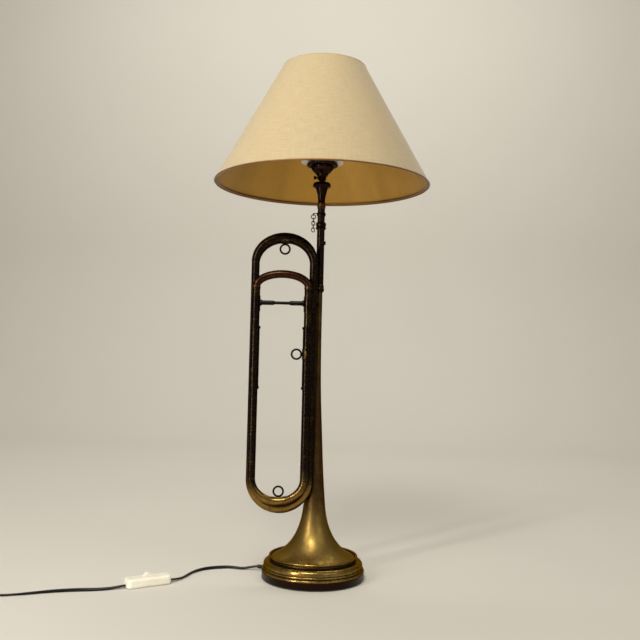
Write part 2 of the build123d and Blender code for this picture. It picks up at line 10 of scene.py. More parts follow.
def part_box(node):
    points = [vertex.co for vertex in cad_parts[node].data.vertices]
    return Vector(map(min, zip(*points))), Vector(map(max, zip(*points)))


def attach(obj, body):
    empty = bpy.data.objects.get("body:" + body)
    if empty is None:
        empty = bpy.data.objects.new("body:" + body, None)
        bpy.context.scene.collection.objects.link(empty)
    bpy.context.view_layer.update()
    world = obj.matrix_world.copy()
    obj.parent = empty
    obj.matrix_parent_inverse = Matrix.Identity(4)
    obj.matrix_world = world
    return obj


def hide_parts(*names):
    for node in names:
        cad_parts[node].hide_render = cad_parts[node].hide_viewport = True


bl_info = {
    "name": "Bugle table lamp",
    "version": (1, 0, 0),
    "blender": (4, 5, 0),
    "location": "View3D > Sidebar > Bugle Lamp",
    "description": "Finishes the pieces of a table lamp made from a field bugle",
    "category": "Object",
}

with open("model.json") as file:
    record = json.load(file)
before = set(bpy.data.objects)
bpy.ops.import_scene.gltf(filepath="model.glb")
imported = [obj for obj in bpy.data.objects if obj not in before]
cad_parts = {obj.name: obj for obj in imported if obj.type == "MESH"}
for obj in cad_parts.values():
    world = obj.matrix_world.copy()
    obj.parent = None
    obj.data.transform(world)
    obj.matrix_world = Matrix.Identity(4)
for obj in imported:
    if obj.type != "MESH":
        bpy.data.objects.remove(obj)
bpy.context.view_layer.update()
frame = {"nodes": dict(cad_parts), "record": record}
NODES = frame["nodes"]

# The flex's route, from where it leaves the base to the switch and on to the
# plug, as the part lays it on the table, in metres.
ROUTE_TO_SWITCH = [
    (-0.078, 0.0315, 0.0052), (-0.0885, 0.033, 0.0040), (-0.099, 0.031, 0.0024),
    (-0.110, 0.0348, 0.0022), (-0.1215, 0.0363, 0.0022), (-0.133, 0.0325, 0.0022),
    (-0.145, 0.0273, 0.0022), (-0.156, 0.0183, 0.0022), (-0.164, 0.0068, 0.0022),
    (-0.169, -0.006, 0.0022), (-0.1728, -0.0195, 0.0023), (-0.178, -0.033, 0.0028),
    (-0.188, -0.043, 0.0035),
]
ROUTE_TO_COIL = [
    (-0.2386, -0.07524, 0.0035), (-0.251, -0.0825, 0.0028), (-0.271, -0.091, 0.0023),
    (-0.297, -0.096, 0.0022), (-0.324, -0.104, 0.0022), (-0.350, -0.1155, 0.0022),
    (-0.378, -0.1245, 0.0022), (-0.408, -0.1288, 0.0022),
]
ROUTE_TO_PLUG = [(-0.4742, -0.079, 0.0068), (-0.476, -0.065, 0.0069)]

# The length near each end of the flex over which it is still held at its route's own height.
HELD_LENGTH = 0.03

# The sleeve rings take the blackened metal that the record names for them. This is painted shade: a dark
# line standing in for the shadow in their grooves.
TUBING = (
    "rear_left_tube", "rear_right_tube", "rear_top_bow", "rear_bottom_bow", "front_tubes",
    "front_bottom_bow", "slide_sleeves", "sleeve_rings", "slide_legs", "slide_collars", "stays",
)
BLACKENED = (
    "chain_collar", "chain_ring", "chain_link_1", "chain_link_2", "chain_link_3",
    "chain_link_4", "cord_rings", "slide_brace", "grip_screw",
)


# ---- materials: small tools ----------------------------------------------------
def shade_of(red, green, blue):
    """A linear colour from the everyday 0 to 255 scale."""
    def linear(value):
        value /= 255
        return value / 12.92 if value <= 0.04045 else ((value + 0.055) / 1.055) ** 2.4
    return (linear(red), linear(green), linear(blue), 1.0)


class Tree:
    """Adds the nodes of one material or group and joins them."""

    def __init__(self, tree):
        self.tree = tree

    def feed(self, socket, value):
        if isinstance(value, bpy.types.NodeSocket):
            self.tree.links.new(value, socket)
        elif isinstance(value, (tuple, list)) and len(value) < len(socket.default_value):
            socket.default_value = (*value, 1.0)
        else:
            socket.default_value = value

    def add(self, kind, settings=None, sockets=None):
        node = self.tree.nodes.new(kind)
        for name, value in (settings or {}).items():
            setattr(node, name, value)
        for name, value in (sockets or {}).items():
            self.feed(node.inputs[name], value)
        return node

    def sum(self, operation, first, second=0.0, clamp=False):
        node = self.add("ShaderNodeMath", {"operation": operation, "use_clamp": clamp})
        self.feed(node.inputs[0], first)
        self.feed(node.inputs[1], second)
        return node.outputs[0]

    def mix(self, factor, first, second, blend="MIX"):
        node = self.add("ShaderNodeMix", {"data_type": "RGBA", "blend_type": blend})
        self.feed(node.inputs[0], factor)
        self.feed(node.inputs[6], first)
        self.feed(node.inputs[7], second)
        return node.outputs[2]

    def between(self, value, low, high, start=0.0, end=1.0):
        node = self.add("ShaderNodeMapRange", {"interpolation_type": "SMOOTHSTEP"})
        for socket, given in zip(node.inputs, (value, low, high, start, end)):
            self.feed(socket, given)
        return node.outputs[0]

    def place(self):
        return self.add("ShaderNodeTexCoord").outputs["Object"]

    def stretched(self, vector, factors):
        node = self.add("ShaderNodeVectorMath", {"operation": "MULTIPLY"})
        self.feed(node.inputs[0], vector)
        node.inputs[1].default_value = factors
        return node.outputs[0]

    def noise(self, vector, scale, detail=3.0, rough=0.55):
        return self.add("ShaderNodeTexNoise", None, {
            "Vector": vector, "Scale": scale, "Detail": detail, "Roughness": rough}).outputs[0]

    def bump(self, height, distance, strength=1.0, normal=None):
        sockets = {"Height": height, "Distance": distance, "Strength": strength}
        if normal is not None:
            sockets["Normal"] = normal
        return self.add("ShaderNodeBump", None, sockets).outputs[0]


def group_tree(name, inputs, outputs):
    """A shader node group with named inputs (name: default) and outputs."""
    tree = bpy.data.node_groups.new(name, "ShaderNodeTree")
    for label, value in inputs.items():
        if value is None:
            kind = "NodeSocketVector"
        else:
            kind = "NodeSocketColor" if isinstance(value, tuple) else "NodeSocketFloat"
        socket = tree.interface.new_socket(label, in_out="INPUT", socket_type=kind)
        if value is not None:
            socket.default_value = value
    for label, kind in outputs.items():
        tree.interface.new_socket(label, in_out="OUTPUT", socket_type=f"NodeSocket{kind}")
    box = Tree(tree)
    return box, box.add("NodeGroupInput").outputs, box.add("NodeGroupOutput").inputs


def placed(tree, group, **values):
    """One use of a shared group, with this material's own values."""
    node = tree.add("ShaderNodeGroup", {"node_tree": group})
    for name, value in values.items():
        tree.feed(node.inputs[name.replace("_", " ").capitalize()], value)
    return node.outputs


# ---- materials: shared effects ---------------------------------------------------
def patina_group():
    """Aged metal: cloudy tarnish over clean metal, fine pits, and corners darkened as painted shade, also
    roughened like grime.
    """
    tree, given, out = group_tree("Patina", {
        "Clean": shade_of(180, 140, 60), "Tarnish": shade_of(60, 40, 25),
        "Grime and shade": shade_of(18, 12, 8), "Tarnish amount": 0.5, "Cloud scale": 30.0,
        "Smoothness": 0.2, "Corner width": 0.002, "Softness": 0.2,
    }, {"Color": "Color", "Roughness": "Float", "Height": "Float"})
    place = tree.place()
    clouds = tree.noise(place, given["Cloud scale"], 5.0, 0.62)
    fine = tree.noise(place, tree.sum("MULTIPLY", given["Cloud scale"], 6.0), 4.0, 0.6)
    drawn = tree.noise(tree.stretched(place, (1.0, 1.0, 0.12)), 260.0, 3.0, 0.5)
    field = tree.sum("ADD", tree.sum("MULTIPLY", clouds, 0.55), tree.sum("MULTIPLY", fine, 0.25))
    field = tree.sum("ADD", field, tree.sum("MULTIPLY", drawn, 0.20))
    edge = tree.between(given["Tarnish amount"], 0.0, 1.0, 0.82, 0.18)
    high = tree.sum("ADD", edge, given["Softness"])
    cover = tree.between(field, tree.sum("SUBTRACT", edge, given["Softness"]), high)
    # Painted shade: ambient occlusion darkens corners and recesses toward the dark colour, and the
    # roughness it adds stands for grime.
    corner = tree.add("ShaderNodeAmbientOcclusion", {"samples": 8}, {
        "Distance": given["Corner width"]}).outputs["AO"]
    corner_shade_and_grime = tree.between(tree.sum("ADD", corner, tree.sum("MULTIPLY", fine, 0.3)), 1.05, 0.6)
    pits = tree.between(tree.noise(place, 1300.0, 2.0, 0.5), 0.66, 0.74)
    colour = tree.mix(cover, given["Clean"], given["Tarnish"])
    # Corners go toward the dark colour here as painted shade.
    colour = tree.mix(tree.sum("MULTIPLY", corner_shade_and_grime, 0.85), colour, given["Grime and shade"])
    colour = tree.mix(tree.sum("MULTIPLY", pits, 0.55), colour, given["Grime and shade"])
    rough = tree.sum("ADD", given["Smoothness"], tree.sum("MULTIPLY", cover, 0.12))
    rough = tree.sum("ADD", rough, tree.sum("MULTIPLY", corner_shade_and_grime, 0.30))
    rough = tree.sum("ADD", rough, tree.between(fine, 0.35, 0.7, -0.04, 0.07), clamp=True)
    height = tree.sum("SUBTRACT", tree.sum("MULTIPLY", fine, 0.5), pits)
    tree.feed(out["Color"], colour)
    tree.feed(out["Roughness"], rough)
    tree.feed(out["Height"], height)
    return tree.tree


def rubbed_group():
    """Where edges stand proud and hands or cloths rub them bright."""
    tree, given, out = group_tree(
        "Rubbed edges", {"Width": 0.0006, "Amount": 1.0}, {"Mask": "Float"})
    inner = tree.add("ShaderNodeAmbientOcclusion", {"inside": True, "samples": 8, "only_local": True},
                     {"Distance": given["Width"]}).outputs["AO"]
    broken = tree.between(tree.noise(tree.place(), 420.0, 4.0, 0.65), 0.38, 0.62)
    mask = tree.sum("MULTIPLY", tree.between(inner, 0.92, 0.55), broken)
    tree.feed(out["Mask"], tree.sum("MULTIPLY", mask, given["Amount"], clamp=True))
    return tree.tree


def scratch_group():
    """Hairline scratches from years of polishing, mostly round the metal."""
    tree, given, out = group_tree("Hairlines", {"Amount": 0.5}, {"Mask": "Float"})
    place = tree.place()
    total = 0.0
    for factors, scale in (((1, 1, 22), 55.0), ((9, 2, 4), 120.0), ((2, 9, 5), 140.0)):
        lines = tree.noise(tree.stretched(place, factors), scale, 2.0, 0.5)
        total = tree.sum("ADD", total, tree.between(lines, 0.60, 0.68))
    tree.feed(out["Mask"], tree.sum("MULTIPLY", total, given["Amount"], clamp=True))
    return tree.tree


def weave_group():
    """Plain weave with thick and thin yarns, laid by a thread position in metres."""
    tree, given, out = group_tree("Weave", {"Thread": None, "Pitch": 0.00055, "Slub": 0.5},
                                  {"Height": "Float", "Yarn": "Float", "Speck": "Float"})
    split = tree.add("ShaderNodeSeparateXYZ", None, {"Vector": given["Thread"]}).outputs
    waves = []
    for axis in (0, 1):
        turns = tree.sum("MULTIPLY", tree.sum("DIVIDE", split[axis], given["Pitch"]), math.pi)
        waves.append(tree.sum("SINE", turns))
    crossing = tree.sum("MULTIPLY", waves[0], waves[1])
    thick = tree.noise(tree.stretched(given["Thread"], (0.09, 1.6, 1.0)), 620.0, 3.0, 0.6)
    tall = tree.noise(tree.stretched(given["Thread"], (1.6, 0.09, 1.0)), 520.0, 3.0, 0.6)
    yarn = tree.sum("ADD", tree.sum("MULTIPLY", thick, 0.62), tree.sum("MULTIPLY", tall, 0.38))
    height = tree.sum("ADD", tree.sum("MULTIPLY", crossing, 0.35),
                      tree.sum("MULTIPLY", tree.sum("MULTIPLY", yarn, given["Slub"]), 2.0))
    flecks = tree.noise(given["Thread"], 210.0, 2.0, 0.4)
    tree.feed(out["Height"], height)
    tree.feed(out["Yarn"], tree.between(yarn, 0.32, 0.68))
    tree.feed(out["Speck"], tree.between(flecks, 0.735, 0.765))
    return tree.tree


def dust_group():
    """A thin film of dust on what faces up."""
    tree, given, out = group_tree("Dust film", {"Amount": 0.3}, {"Mask": "Float"})
    facing = tree.add("ShaderNodeNewGeometry").outputs["Normal"]
    upward = tree.between(tree.add("ShaderNodeSeparateXYZ", None, {"Vector": facing}).outputs[2], 0.55, 1.0)
    cloudy = tree.between(tree.noise(tree.place(), 90.0, 4.0, 0.6), 0.3, 0.75, 0.35, 1.0)
    mask = tree.sum("MULTIPLY", upward, cloudy)
    tree.feed(out["Mask"], tree.sum("MULTIPLY", mask, given["Amount"], clamp=True))
    return tree.tree


GROUPS = {}


def effect(name):
    """A shared effect, built the first time that a material asks for it."""
    makers = {"patina": patina_group, "rubbed": rubbed_group, "hairlines": scratch_group,
              "weave": weave_group, "dust": dust_group}
    if name not in GROUPS:
        GROUPS[name] = makers[name]()
    return GROUPS[name]


def start_material(name, **sockets):
    """A new material's tree and its Principled shader with plain values set."""
    material = bpy.data.materials.new(name)
    material.use_nodes = True
    tree = Tree(material.node_tree)
    shader = material.node_tree.nodes["Principled BSDF"]
    for label, value in sockets.items():
        tree.feed(shader.inputs[label.replace("_", " ")], value)
    return material, tree, shader.inputs


def aged_metal(name, clean, tarnish, amount, clouds=30.0, smooth=0.2, corner=0.002,
               edge=None, edge_amount=0.7, scratches=0.35, coat=0.0, dust=0.15, fade=None,
               soft=0.2, reddened=None):
    """Old brass in one of its finishes. fade is (low, high, amount at low) for a
    piece whose tarnish grows with its height, and reddened is (low, high, colour)
    for one whose clean metal turns to that colour with its height."""
    material, tree, shader = start_material(name, Metallic=1.0, Coat_Weight=coat, Coat_Roughness=0.09,
                                            Specular_Tint=shade_of(170, 150, 108))
    tarnished = amount
    above = tree.add("ShaderNodeSeparateXYZ", None, {"Vector": tree.place()}).outputs[2]
    if fade:
        tarnished = tree.between(above, fade[0], fade[1], fade[2], amount)
    if reddened:
        clean = tree.mix(tree.between(above, reddened[0], reddened[1]), clean, reddened[2])
    patina = placed(tree, effect("patina"), Clean=clean, Tarnish=tarnish, Tarnish_amount=tarnished,
                    Cloud_scale=clouds, Smoothness=smooth, Corner_width=corner, Softness=soft)
    rubbed = placed(tree, effect("rubbed"), Amount=edge_amount)["Mask"]
    lines = placed(tree, effect("hairlines"), Amount=scratches)["Mask"]
    film = placed(tree, effect("dust"), Amount=dust)["Mask"]
    colour = tree.mix(rubbed, patina["Color"], edge or clean)
    colour = tree.mix(tree.sum("MULTIPLY", lines, 0.25), colour, clean)
    colour = tree.mix(film, colour, shade_of(120, 108, 90))
    rough = tree.sum("ADD", patina["Roughness"], tree.sum("MULTIPLY", film, 0.5))
    rough = tree.sum("SUBTRACT", rough, tree.sum("MULTIPLY", rubbed, 0.08), clamp=True)
    tree.feed(shader["Base Color"], colour)
    tree.feed(shader["Roughness"], rough)
    tree.feed(shader["Metallic"], tree.sum("SUBTRACT", 1.0, tree.sum("MULTIPLY", film, 0.6)))
    height = tree.sum("SUBTRACT", patina["Height"], tree.sum("MULTIPLY", lines, 0.6))
    tree.feed(shader["Normal"], tree.bump(height, 0.000025))
    return material


def bell_brass():
    return aged_metal("bell_brass", shade_of(172, 143, 77), shade_of(62, 43, 24), 1.0, clouds=18.0,
                      smooth=0.33, corner=0.003, scratches=0.25, edge_amount=0.25, dust=0.02,
                      fade=(0.045, 0.150, 0.48), soft=0.45)


def bright_brass():
    return aged_metal("bright_brass", shade_of(198, 164, 90), shade_of(40, 28, 16), 1.0, clouds=28.0,
                      smooth=0.19, corner=0.004, edge=shade_of(214, 182, 108), edge_amount=0.45,
                      dust=0.02, fade=(0.125, 0.20, 0.56), soft=0.45)


def dark_brass():
    # Low down the fade leaves the metal cleaner and gold. On the bottom bows this is a painted highlight.
    return aged_metal("dark_brass", shade_of(160, 126, 64), shade_of(23, 13, 8), 0.90, clouds=34.0,
                      smooth=0.17, corner=0.003, edge=shade_of(150, 106, 56), edge_amount=0.5,
                      coat=0.12, dust=0.03, fade=(0.100, 0.160, 0.40), soft=0.30,
                      reddened=(0.42, 0.50, shade_of(176, 96, 56)))


def red_brass():
    return aged_metal("red_brass", shade_of(160, 110, 52), shade_of(48, 25, 13), 0.82, clouds=40.0,
                      smooth=0.18, corner=0.003, edge=shade_of(190, 146, 84), edge_amount=0.5,
                      coat=0.12, dust=0.03, soft=0.30)


def black_metal():
    return aged_metal("black_metal", shade_of(58, 44, 34), shade_of(20, 15, 13), 0.85, clouds=70.0,
                      smooth=0.26, corner=0.0015, edge=shade_of(110, 84, 56), edge_amount=0.5,
                      coat=0.15, dust=0.05)


def steel():
    return aged_metal("steel", shade_of(190, 190, 186), shade_of(120, 116, 108), 0.4, clouds=80.0,
                      smooth=0.3, corner=0.002, scratches=0.6)


def nickel():
    return aged_metal("nickel", shade_of(214, 208, 196), shade_of(160, 150, 132), 0.3, clouds=60.0,
                      smooth=0.16, corner=0.002, scratches=0.5)


def dark_plinth():
    """Ebonised wood, waxed, with the grain just showing through."""
    material, tree, shader = start_material("dark_plinth", Specular_IOR_Level=0.22,
                                            Specular_Tint=shade_of(200, 140, 96))
    place = tree.place()
    grain = tree.noise(tree.stretched(place, (14.0, 1.2, 14.0)), 55.0, 4.0, 0.65)
    pores = tree.between(tree.noise(tree.stretched(place, (30.0, 1.5, 30.0)), 90.0, 2.0, 0.5), 0.62, 0.7)
    rubbed = placed(tree, effect("rubbed"), Width=0.0008, Amount=0.5)["Mask"]
    film = placed(tree, effect("dust"), Amount=0.05)["Mask"]
    colour = tree.mix(tree.between(grain, 0.3, 0.7), shade_of(15, 8, 7), shade_of(30, 16, 12))
    colour = tree.mix(pores, colour, shade_of(7, 4, 4))
    colour = tree.mix(rubbed, colour, shade_of(84, 50, 30))
    colour = tree.mix(film, colour, shade_of(120, 108, 92))
    tree.feed(shader["Base Color"], colour)
    tree.feed(shader["Roughness"], tree.between(grain, 0.3, 0.7, 0.24, 0.4))
    tree.feed(shader["Normal"], tree.bump(tree.sum("SUBTRACT", grain, pores), 0.00008))
    return material


def felt():
    """Dark green baize, brushed and a little dusty."""
    material, tree, shader = start_material("felt", Roughness=0.95, Sheen_Weight=0.5, Sheen_Roughness=0.6)
    place = tree.place()
    fibres = tree.noise(place, 2600.0, 4.0, 0.75)
    clouds = tree.noise(place, 60.0, 3.0, 0.6)
    colour = tree.mix(tree.between(fibres, 0.3, 0.7), shade_of(22, 46, 30), shade_of(44, 76, 50))
    colour = tree.mix(tree.between(clouds, 0.5, 0.75, 0.0, 0.35), colour, shade_of(96, 98, 80))
    tree.feed(shader["Base Color"], colour)
    tree.feed(shader["Normal"], tree.bump(fibres, 0.0003))
    return material


def threads(tree):
    """The thread position that a cloth piece carries on its points."""
    return tree.add("ShaderNodeAttribute", {"attribute_name": "thread"}).outputs["Vector"]


def shade_fabric(settings):
    """Cream linen with slubs, on a stiff backing."""
    material, tree, shader = start_material("shade_fabric", Roughness=0.88, Sheen_Weight=0.25,
                                            Sheen_Roughness=0.5)
    cloth = placed(tree, effect("weave"), Thread=threads(tree), Pitch=settings.yarn, Slub=0.6)
    age = tree.noise(tree.place(), 9.0, 4.0, 0.6)
    linen = (*settings.linen, 1.0)
    light = tree.mix(0.5, linen, shade_of(208, 190, 152))
    dark = tree.mix(0.30, linen, shade_of(150, 112, 60))
    colour = tree.mix(cloth["Yarn"], dark, light)
    colour = tree.mix(0.35, colour, linen)
    colour = tree.mix(tree.between(age, 0.35, 0.75, 0.0, 0.15), colour, shade_of(196, 164, 112))
    colour = tree.mix(tree.sum("MULTIPLY", cloth["Speck"], 0.6), colour, shade_of(120, 84, 50))
    tree.feed(shader["Base Color"], colour)
    tree.feed(shader["Normal"], tree.bump(cloth["Height"], 0.00012))
    return material


def gold_lining(settings):
    """Satin gold lining: soft metallic sheen, brushed up and down. The tape round
    the rims, whose thread has no depth, is darker."""
    material, tree, shader = start_material("gold_lining", Metallic=0.55, Sheen_Weight=0.15)
    thread = threads(tree)
    brushed = tree.noise(tree.stretched(thread, (1.0, 0.05, 1.0)), 900.0, 3.0, 0.6)
    bands = tree.noise(tree.stretched(thread, (1.0, 0.06, 1.0)), 13.0, 3.0, 0.5)
    blotches = tree.noise(thread, 24.0, 4.0, 0.6)
    gold = (*settings.gold, 1.0)
    colour = tree.mix(tree.between(bands, 0.35, 0.68, 0.0, 0.4), gold, shade_of(140, 110, 48))
    colour = tree.mix(tree.between(brushed, 0.3, 0.7, 0.0, 0.15), colour, shade_of(214, 182, 104))
    colour = tree.mix(tree.between(blotches, 0.5, 0.8, 0.0, 0.2), colour, shade_of(132, 98, 44))
    depth = tree.add("ShaderNodeSeparateXYZ", None, {"Vector": thread}).outputs[2]
    colour = tree.mix(tree.between(depth, 0.0002, 0.0006), shade_of(126, 86, 34), colour)
    tree.feed(shader["Base Color"], colour)
    tree.feed(shader["Roughness"], tree.between(brushed, 0.3, 0.7, 0.36, 0.5))
    tree.feed(shader["Normal"], tree.bump(brushed, 0.00005))
    return material


def enamel(name, tint, chip):
    """Stove enamel or glaze, pooled a little, chipped on its edges."""
    material, tree, shader = start_material(name, Coat_Weight=0.4, Coat_Roughness=0.1)
    place = tree.place()
    pooled = tree.noise(place, 160.0, 3.0, 0.5)
    rubbed = placed(tree, effect("rubbed"), Amount=0.8)["Mask"]
    film = placed(tree, effect("dust"), Amount=0.4)["Mask"]
    colour = tree.mix(tree.between(pooled, 0.35, 0.7, 0.0, 0.3), tint, shade_of(206, 196, 168))
    colour = tree.mix(rubbed, colour, chip)
    colour = tree.mix(film, colour, shade_of(150, 138, 116))
    tree.feed(shader["Base Color"], colour)
    tree.feed(shader["Roughness"], tree.between(pooled, 0.3, 0.7, 0.25, 0.4))
    tree.feed(shader["Normal"], tree.bump(pooled, 0.00008))
    return material


def moulded(name, tint, deep, smooth, grain, coat=0.0, shine=0.5):
    """Moulded plastic or rubber: fine skin, flow clouds, handled edges, some dust."""
    material, tree, shader = start_material(name, Coat_Weight=coat, Coat_Roughness=0.2,
                                            Specular_IOR_Level=shine)
    place = tree.place()
    skin = tree.noise(place, grain, 3.0, 0.6)
    clouds = tree.noise(place, 70.0, 4.0, 0.6)
    rubbed = placed(tree, effect("rubbed"), Amount=0.35)["Mask"]
    film = placed(tree, effect("dust"), Amount=0.3)["Mask"]
    colour = tree.mix(tree.between(clouds, 0.35, 0.7), tint, deep)
    colour = tree.mix(rubbed, colour, tree.mix(0.4, tint, shade_of(220, 210, 190)))
    colour = tree.mix(film, colour, shade_of(150, 140, 122))
    tree.feed(shader["Base Color"], colour)
    rough = tree.sum("ADD", tree.between(clouds, 0.3, 0.7, smooth, smooth + 0.12),
                     tree.sum("MULTIPLY", film, 0.3), clamp=True)
    tree.feed(shader["Roughness"], rough)
    tree.feed(shader["Normal"], tree.bump(skin, 0.00005))
    return material


MATERIALS = {}


def finish_of(slot):
    """The material of a record slot, made the first time that a piece needs it."""
    scene = bpy.context.scene
    makers = {
        "felt": felt, "dark_plinth": dark_plinth, "bright_brass": bright_brass,
        "bell_brass": bell_brass, "dark_brass": dark_brass, "red_brass": red_brass,
        "black_metal": black_metal, "steel": steel, "nickel": nickel,
        "bakelite": lambda: moulded("bakelite", shade_of(52, 26, 18), shade_of(30, 16, 12), 0.22,
                                    900.0, 0.3),
        "ceramic": lambda: enamel("ceramic", shade_of(232, 226, 212), shade_of(196, 186, 166)),
        "white_enamel": lambda: enamel("white_enamel", shade_of(196, 186, 164), shade_of(120, 116, 108)),
        "shade_fabric": lambda: shade_fabric(scene.lamp_shade),
        "gold_lining": lambda: gold_lining(scene.lamp_shade),
        "flex_pvc": lambda: moulded("flex_pvc", shade_of(14, 11, 11), shade_of(8, 7, 7), 0.4, 1500.0,
                                    shine=0.25),
        "white_plastic": lambda: moulded("white_plastic", shade_of(250, 247, 233),
                                         shade_of(243, 237, 216), 0.3, 1200.0, 0.15),
        "black_plastic": lambda: moulded("black_plastic", shade_of(28, 26, 26),
                                         shade_of(18, 16, 16), 0.42, 2200.0),
    }
    if slot not in MATERIALS:
        MATERIALS[slot] = makers[slot]()
    return MATERIALS[slot]


def dress(names):
    """Gives CAD nodes the finish that the record names for them."""
    slots = {row["node"]: row["material_slot"] for row in frame["record"]["subparts"]}
    for name in names:
        piece = NODES[name]
        if not piece.material_slots:
            piece.data.materials.append(finish_of(slots[name]))
        for place in piece.material_slots:
            place.link = "OBJECT"
            place.material = finish_of(slots[name])


# ---- meshes: small tools -----------------------------------------------------------
def new_piece(name, mesh, slot, body="lamp", replaced=()):
    """An object for a finished mesh, riding on its body with its finish."""
    piece = bpy.data.objects.new(name, mesh)
    bpy.context.scene.collection.objects.link(piece)
    mesh.materials.append(finish_of(slot))
    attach(piece, body)
    if replaced:
        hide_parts(*replaced)
    return piece


def mesh_of(name, points, faces, thread=None, smooth=True):
    """A mesh from points and faces, with thread positions where it is cloth."""
    mesh = bpy.data.meshes.new(name)
    mesh.from_pydata([tuple(p) for p in points], [], faces)
    mesh.polygons.foreach_set("use_smooth", [smooth] * len(mesh.polygons))
    if thread:
        store = mesh.attributes.new("thread", "FLOAT_VECTOR", "POINT")
        store.data.foreach_set("vector", [x for p in thread for x in p])
    mesh.update()
    return mesh


def ring_faces(rings, around, closed=False):
    """Quads between successive rings of points, each ring closed on itself."""
    faces = []
    for row in range(rings if closed else rings - 1):
        above = (row + 1) % rings
        for place in range(around):
            beside = (place + 1) % around
            faces.append((row * around + place, row * around + beside,
                          above * around + beside, above * around + place))
    return faces


def read_line(points):
    """Points along the smooth NURBS line that has these control points."""
    curve = bpy.data.curves.new("route", "CURVE")
    curve.dimensions = "3D"
    curve.resolution_u = 10
    spline = curve.splines.new("NURBS")
    spline.points.add(len(points) - 1)
    for place, point in zip(spline.points, points):
        place.co = (*point, 1.0)
    spline.order_u = 3
    spline.use_endpoint_u = True
    holder = bpy.data.objects.new("route", curve)
    bpy.context.scene.collection.objects.link(holder)
    bpy.context.view_layer.update()
    drawn = bpy.data.meshes.new_from_object(holder)
    line = [vertex.co.copy() for vertex in drawn.vertices]
    bpy.data.objects.remove(holder)
    bpy.data.curves.remove(curve)
    bpy.data.meshes.remove(drawn)
    return line


# ---- flex ---------------------------------------------------------------------------
class FlexSettings(PropertyGroup):
    width: FloatProperty(name="Width", description="Width across both cores", default=0.0044,
                         subtype="DISTANCE", unit="LENGTH")
    thickness: FloatProperty(name="Thickness", description="Thickness over one core",
                             default=0.0029, subtype="DISTANCE", unit="LENGTH")
    twist: FloatProperty(name="Half turn", description="Length of flex in which it rolls over",
                         default=0.15, subtype="DISTANCE", unit="LENGTH")
    coil_turns: FloatProperty(name="Coil turns", description="Turns in each layer of the coil",
                              default=4.0, min=1.0)


def twin_flex(name, points, settings, held, flat_from=1.0):
    """Flat twin flex along control points. It rolls over slowly, rests on the table
    whichever way up it is, and is held at its route's own height for the length
    held at each end. From the share flat_from of its length on, it lies flat."""
    line = read_line(points)
    along = [0.0]
    for before, here in zip(line, line[1:]):
        along.append(along[-1] + (here - before).length)
    half = settings.width / 2
    thin = settings.thickness / 2
    around = 20
    shape = []
    for step in range(around):
        turn = 2 * math.pi * step / around
        across = half * math.cos(turn)
        waist = 1.0 - 0.26 * math.exp(-((across / (0.28 * half)) ** 2))
        shape.append((across, thin * math.sin(turn) * waist))
    points_out = []
    for place, here in enumerate(line):
        ahead = line[min(place + 1, len(line) - 1)] - line[max(place - 1, 0)]
        ahead.normalize()
        side = ahead.cross(Vector((0, 0, 1))).normalized()
        up = side.cross(ahead)
        gone = along[place]
        rolled = math.pi * gone / settings.twist
        settled = min(max((gone / along[-1] - flat_from) * 12, 0.0), 1.0)
        resting = math.pi * round(along[-1] * flat_from / settings.twist)
        rolled = rolled * (1 - settled) + resting * settled
        tall = math.hypot(half * math.sin(rolled), thin * math.cos(rolled))
        near_end = min(gone, along[-1] - gone)
        eased = min(near_end / held, 1.0)
        eased = eased * eased * (3 - 2 * eased)
        centre = here.copy()
        centre.z *= 1 + (tall / half - 1) * eased
        for across, proud in shape:
            x = across * math.cos(rolled) - proud * math.sin(rolled)
            z = across * math.sin(rolled) + proud * math.cos(rolled)
            points_out.append(centre + side * x + up * z)
    faces = ring_faces(len(line), around)
    faces.append(tuple(reversed(range(around))))
    last = (len(line) - 1) * around
    faces.append(tuple(range(last, last + around)))
    print(name, round(along[-1], 4))
    return mesh_of(name, points_out, faces), line


def coil_points(settings):
    """Control points of the put-away coil: one layer wound inward on the table,
    then a second on top of it, wound outward. It runs clockwise from above."""
    low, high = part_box("flex_coil")
    centre = (low + high) / 2
    pitch = settings.width
    outer = (high.x - low.x) / 2 - 0.55 * pitch
    inner = outer - settings.coil_turns * pitch
    climb = 0.75
    last = 0.5
    total = 2 * settings.coil_turns + climb + last
    per_turn = 16
    points = []
    for step in range(int(total * per_turn) + 1):
        turned = step / per_turn
        rise = min(max((turned - settings.coil_turns) / climb, 0.0), 1.0)
        inward = min(turned, settings.coil_turns)
        outward = min(max(turned - settings.coil_turns - climb, 0.0), settings.coil_turns)
        radius = outer - (inward - outward) * pitch
        radius = max(radius - 0.0011 * math.sin(math.pi * rise), inner - 0.0011)
        angle = -math.pi / 2 - 2 * math.pi * turned
        points.append((centre.x + radius * math.cos(angle), centre.y + radius * math.sin(angle),
                       half_height(rise, pitch)))
    return points


def half_height(rise, pitch):
    """The height of the flex's middle on its way from the first to the second layer."""
    return pitch * (0.5 + rise)


class LAMP_OT_flex(Operator):
    """Lay the flex from the base to the switch, and on through its coil to the plug"""

    bl_idname = "bugle_lamp.flex"
    bl_label = "Flex"

    def execute(self, context):
        settings = context.scene.lamp_flex
        mesh, line = twin_flex("flex_base_to_switch", ROUTE_TO_SWITCH, settings, HELD_LENGTH)
        first = new_piece("flex_base_to_switch", mesh, "flex_pvc", replaced=["flex_to_switch"])
        route = ROUTE_TO_COIL + coil_points(settings) + ROUTE_TO_PLUG
        mesh, line = twin_flex("flex_switch_to_plug", route, settings, HELD_LENGTH, flat_from=0.10)
        second = new_piece("flex_switch_to_plug", mesh, "flex_pvc",
                           replaced=["flex_to_coil", "flex_coil", "flex_tail"])
        dress(["internal_flex", "base_relief"])
        return {"FINISHED"}


